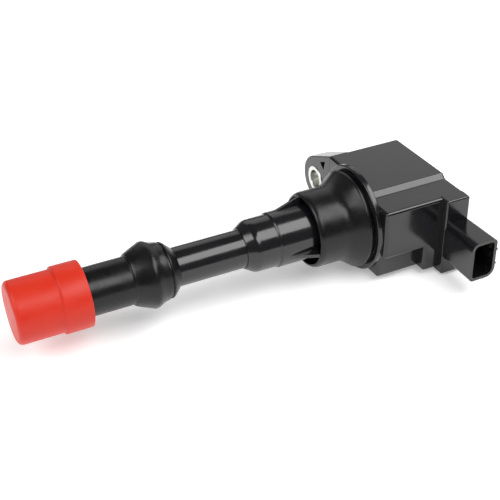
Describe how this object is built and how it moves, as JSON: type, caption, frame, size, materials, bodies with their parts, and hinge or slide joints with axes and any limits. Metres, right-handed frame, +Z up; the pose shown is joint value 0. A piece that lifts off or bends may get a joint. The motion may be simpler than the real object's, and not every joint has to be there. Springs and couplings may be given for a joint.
{
  "type": "ignition coil",
  "caption": "Plug-top ignition coil: potted head with mounting ear and side connector, long stem with well seal, sprung contact, rubber plug boot and pull-off cap.",
  "frame": {"origin": "on the stem axis, in the middle of the well seal's sleeve", "axes": "+X along the stem towards the head, -X towards the spark plug, -Y where the connector points, +Y towards the mounting ear, +Z up"},
  "size_m": [0.1742, 0.0886, 0.042],
  "materials": {
    "black_case": "glossy black glass-filled polyester",
    "bush_steel": "zinc-plated steel",
    "tinned_brass": "tinned brass",
    "package_black": "matte moulding compound",
    "spreader_aluminium": "plain",
    "copper_wire": "enamelled copper",
    "core_steel": "stacked silicon steel",
    "magnet": "plain ferrite",
    "bobbin_nylon": "natural nylon",
    "epoxy": "cast epoxy",
    "ceramic": "glazed ceramic",
    "spring_steel": "stainless spring wire",
    "black_rubber": "satin silicone rubber",
    "red_cap": "semi-gloss polyethylene"
  },
  "bodies": {
    "coil": {"coil_case": "black_case", "mounting_bush": "bush_steel", "connector_housing": "black_case", "terminal_supply": "tinned_brass", "terminal_ground": "tinned_brass", "terminal_trigger": "tinned_brass", "igniter_module": "package_black", "heat_spreader": "spreader_aluminium", "primary_leads": "copper_wire", "centre_core": "core_steel", "core_magnet": "magnet", "outer_core": "core_steel", "primary_bobbin": "bobbin_nylon", "primary_winding": "copper_wire", "secondary_bobbin": "bobbin_nylon", "secondary_winding": "copper_wire", "hv_diode": "package_black", "potting_resin": "epoxy", "hv_terminal": "tinned_brass", "suppression_resistor": "ceramic", "contact_spring": "spring_steel", "stem_tube": "black_case", "well_seal": "black_rubber", "plug_boot": "black_rubber"},
    "cap": {"protective_cap": "red_cap"},
    "contact": {"plug_contact": "tinned_brass"}
  },
  "joints": [
    {"name": "cap_pull", "type": "slide", "parent": "coil", "child": "cap", "axis": [-1, 0, 0], "range_m": [0, 0.055]},
    {"name": "contact_press", "type": "slide", "parent": "coil", "child": "contact", "axis": [1, 0, 0], "range_m": [0, 0.004], "stiffness_N_per_m": 1350, "springref_m": -0.002, "deforming": ["contact_spring"]}
  ]
}
